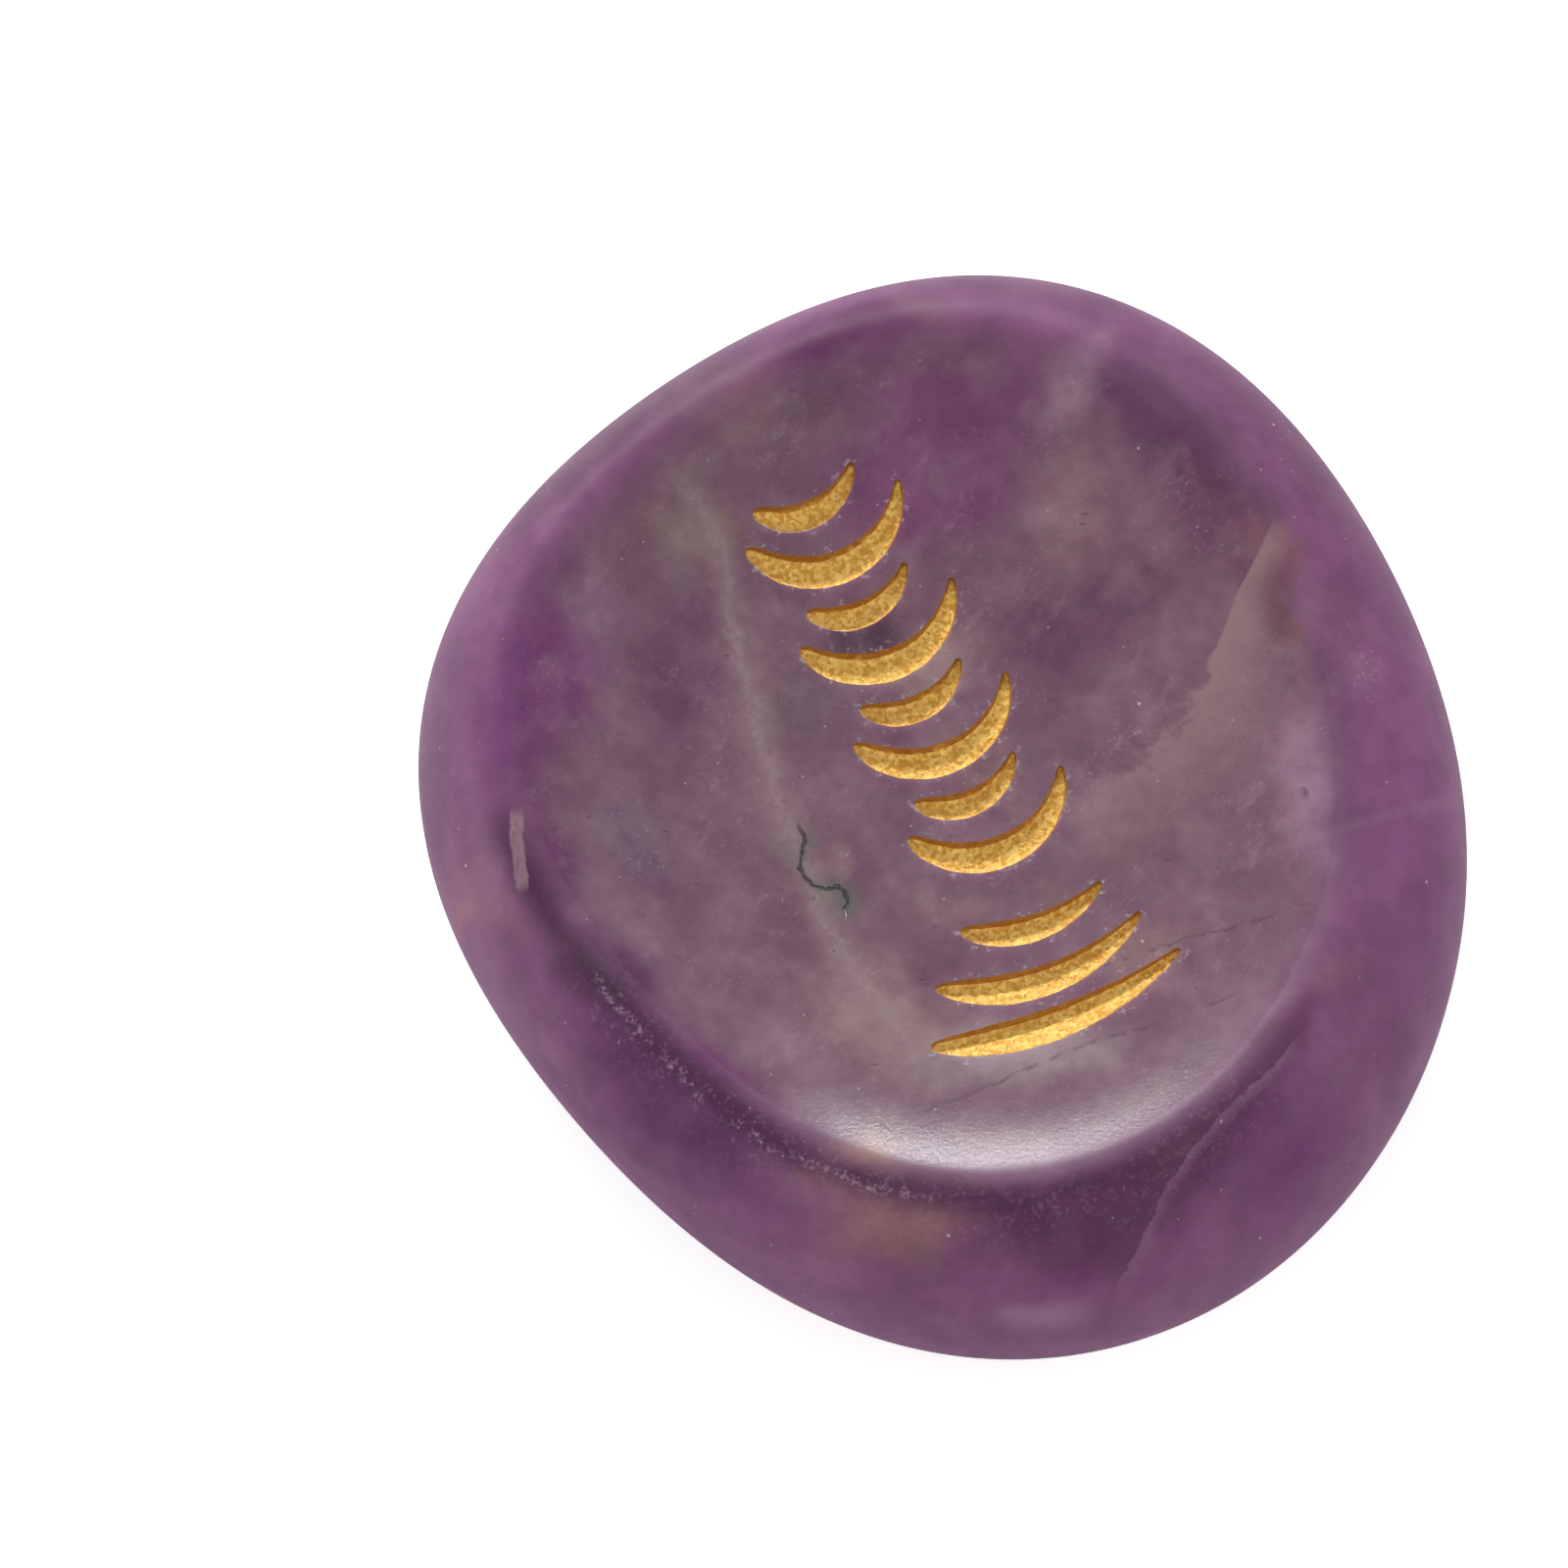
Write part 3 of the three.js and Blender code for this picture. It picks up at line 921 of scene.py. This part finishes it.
def specks(finish, tint):
    """White specks: a few all over, many in a band on the rim, and dust on a line in it."""
    across, _, strength = finish.line("speckled_band")
    band = finish.product(finish.near(across, 0.3 * MM, 1.8 * MM), strength)
    torn = finish.between(finish.tatters(), 0.45, 0.65)
    grains = finish.between(finish.dust(), 0.4, 0.65)
    tint = finish.stain(tint, 0.22, colour(166, 132, 154), band, torn, grains)
    across, _, strength = finish.line("dusty_line")
    across = finish.astray(across, finish.clumps(), 0.7 * MM)
    line = finish.near(across, 0.04 * MM, 0.3 * MM)
    torn = finish.between(finish.tatters(), 0.4, 0.6)
    grains = finish.between(finish.dust(), 0.4, 0.6)
    tint = finish.stain(tint, 0.45, colour(174, 150, 164), line, torn, grains, strength)
    for size, anywhere, in_band, core, clear in SPECKS:
        away, chance = finish.cells(size)
        likely = finish.math("ADD", anywhere, finish.product(band, in_band))
        chosen = finish.math("LESS_THAN", chance, likely)
        dot = finish.between(away, core, core * 2, 1.0, 0.0)
        tint = finish.stain(tint, clear, colour(204, 186, 190), dot, chosen)
    return tint


def scratches(finish, tint):
    """Short dark scratches in the dish, all much the same way."""
    away, chance = finish.cells(0.3 * MM, finish.stretched(-6, 5))
    chosen = finish.math("LESS_THAN", chance, 0.04)
    in_dish = finish.attribute("dish")["Fac"]
    mark = finish.between(away, 0.08, 0.16, 1.0, 0.0)
    return finish.stain(tint, 0.6, colour(66, 46, 62), mark, chosen, in_dish)


def amethyst():
    """Cloudy amethyst: painted clouds, wisps, a vein, a fracture, seams, specks, scratches and a crack."""
    finish = Finish("cloudy_amethyst")
    tint = finish.attribute("tint")["Color"]
    fine = finish.noise(0.55 * MM, 4, 0.7)
    tint = finish.mix(1.0, tint, finish.mix(fine, (0.82, 0.8, 0.83, 1), (1.18, 1.2, 1.17, 1)), "MULTIPLY")
    for marking in (veil, vein, wisps, fracture, seams, glint_arc_and_sliver, specks, scratches):
        tint = marking(finish, tint)

    across, _, strength = finish.line("crack")
    across = finish.astray(across, finish.tatters(), 0.5 * MM)
    patches = finish.between(finish.clumps(), 0.4, 0.6)
    beside = finish.near(across, 0.1 * MM, 0.9 * MM)
    tint = finish.stain(tint, 0.5, colour(98, 102, 96), beside, patches, strength)
    crack = finish.product(finish.near(across, 0.02 * MM, 0.1 * MM), strength)
    tint = finish.stain(tint, 0.85, colour(50, 56, 52), crack)

    flaked = finish.between(finish.tatters(), 0.58, 0.66)
    chips = finish.product(finish.attribute("chips")["Fac"], flaked)
    tint = finish.stain(tint, 0.45, colour(184, 170, 186), chips)

    finish.set("Base Color", tint)
    finish.set("IOR", 1.43)
    finish.set("Subsurface Weight", 0.5)
    finish.set("Subsurface Scale", 1)
    finish.set("Subsurface Radius", (3.0 * MM, 1.8 * MM, 2.8 * MM))
    roughness = finish.between(finish.attribute("polish")["Fac"], 0, 1, RIM_ROUGHNESS, DISH_ROUGHNESS)
    finish.set("Roughness", finish.math("ADD", roughness, finish.product(fine, 0.06)))
    dips = finish.math("ADD", crack, finish.product(chips, 0.25))
    height = finish.math("SUBTRACT", finish.product(finish.dust(), 0.03), dips)
    finish.set("Normal", finish.bump(height, STONE_RELIEF))
    return finish.material


def gold_paint():
    """Gold paint full of flake, with painted shade darkening it on the cuts' steep walls."""
    finish = Finish("gold_paint")
    _, chance = finish.cells(0.14 * MM)
    coarse = finish.noise(0.6 * MM, 4, 0.6)
    tint = finish.mix(finish.between(chance, 0.1, 0.9), colour(216, 156, 54), colour(255, 216, 116))
    tint = finish.mix(finish.between(coarse, 0.35, 0.65, 0.3, 0.0), tint, colour(206, 144, 50))
    facing = finish.nodes.new("ShaderNodeSeparateXYZ")
    finish.links.new(finish.nodes.new("ShaderNodeNewGeometry").outputs["Normal"], facing.inputs["Vector"])
    # Painted shade: the gold turns brown on the cuts' steep walls, where shade falls.
    steep = finish.between(facing.outputs["Z"], 0.3, 0.8, 1.0, 0.0)
    tint = finish.stain(tint, 0.75, colour(148, 86, 28), steep)
    finish.set("Base Color", tint)
    finish.set("Metallic", 0.3)
    finish.set("Roughness", finish.between(chance, 0, 1, 0.34, 0.52))
    finish.set("Normal", finish.bump(finish.noise(0.13 * MM, 3, 0.6), FLAKE_RELIEF))
    return finish.material


# The table, the lights, the room and the camera


def white_paper():
    """Matt white paper that glows, so that it shows white round the soft shadow."""
    paper = bpy.data.materials.new("white_paper")
    paper.use_nodes = True
    nodes = paper.node_tree.nodes
    links = paper.node_tree.links
    shader = nodes["Principled BSDF"]
    shader.inputs["Base Color"].default_value = (0.88, 0.88, 0.88, 1)
    shader.inputs["Roughness"].default_value = 0.9
    shader.inputs["Emission Color"].default_value = (1, 1, 1, 1)
    glow = nodes.new("ShaderNodeMath")
    glow.operation = "MULTIPLY_ADD"
    glow.inputs[1].default_value = PAPER_GLOW_SEEN
    glow.inputs[2].default_value = PAPER_GLOW
    links.new(nodes.new("ShaderNodeLightPath").outputs["Is Camera Ray"], glow.inputs[0])
    links.new(glow.outputs["Value"], shader.inputs["Emission Strength"])
    return paper


def lay_table():
    start_over()
    bpy.ops.mesh.primitive_plane_add(size=TABLE_SIZE, location=(0, 0, -TABLE_GAP))
    table = bpy.context.object
    table.name = "pale_table"
    table.data.materials.append(white_paper())


def direction(azimuth, elevation):
    """A unit vector; the azimuth runs anticlockwise from +X."""
    turn, rise = math.radians(azimuth), math.radians(elevation)
    return Vector((math.cos(turn) * math.cos(rise), math.sin(turn) * math.cos(rise), math.sin(rise)))


def hang_softbox(name, azimuth, elevation, turn_seen, rise_seen, radiance):
    """A rectangular light that faces the stone, with the angles over which the stone sees it."""
    lamp = bpy.data.lights.new(name, "AREA")
    lamp.shape = "RECTANGLE"
    lamp.size = 2 * LIGHTS_AWAY * math.tan(math.radians(turn_seen / 2))
    lamp.size_y = 2 * LIGHTS_AWAY * math.tan(math.radians(rise_seen / 2))
    lamp.energy = radiance * math.pi * lamp.size * lamp.size_y
    held = bpy.data.objects.new(name, lamp)
    bpy.context.scene.collection.objects.link(held)
    held.location = direction(azimuth, elevation) * LIGHTS_AWAY
    held.rotation_euler = direction(azimuth, elevation).to_track_quat("Z", "Y").to_euler()


def dim_room():
    """A white sky that is dark near the table and dim overhead."""
    world = bpy.data.worlds.new("studio")
    bpy.context.scene.world = world
    world.use_nodes = True
    nodes = world.node_tree.nodes
    links = world.node_tree.links
    looking = nodes.new("ShaderNodeSeparateXYZ")
    links.new(nodes.new("ShaderNodeTexCoord").outputs["Generated"], looking.inputs["Vector"])
    rising = nodes.new("ShaderNodeMapRange")
    rising.interpolation_type = "SMOOTHSTEP"
    links.new(looking.outputs["Z"], rising.inputs["Value"])
    levels = {"From Min": SKY_STARTS, "From Max": SKY_FULL, "To Min": 0, "To Max": SKY_STRENGTH}
    for name, level in levels.items():
        rising.inputs[name].default_value = level
    links.new(rising.outputs["Result"], nodes["Background"].inputs["Strength"])
    nodes["Background"].inputs["Color"].default_value = (1, 1, 1, 1)


def aim_camera():
    camera_data = bpy.data.cameras.new("camera")
    camera_data.lens = CAMERA_LENS
    camera_data.sensor_width = 36
    camera_data.clip_start = 0.01
    camera = bpy.data.objects.new("camera", camera_data)
    bpy.context.scene.collection.objects.link(camera)
    back = direction(-90, CAMERA_ELEVATION)
    camera.location = CAMERA_TARGET + back * CAMERA_AWAY
    camera.rotation_euler = back.to_track_quat("Z", "Y").to_euler()
    bpy.context.scene.camera = camera


noise.seed_set(NOISE_SEED)
stone = turn_pebble()
stone.data.materials.append(amethyst())
engrave(stone, gold_paint())
paint_markings(stone, settle(stone))
start_over()
stone.select_set(True)
bpy.context.view_layer.objects.active = stone
bpy.ops.object.shade_smooth_by_angle(angle=SHARP_ANGLE)
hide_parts("worry_stone")
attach(stone, "root")

lay_table()
for softbox in SOFTBOXES:
    hang_softbox(*softbox)
dim_room()
aim_camera()
bpy.context.scene.view_settings.view_transform = "Standard"
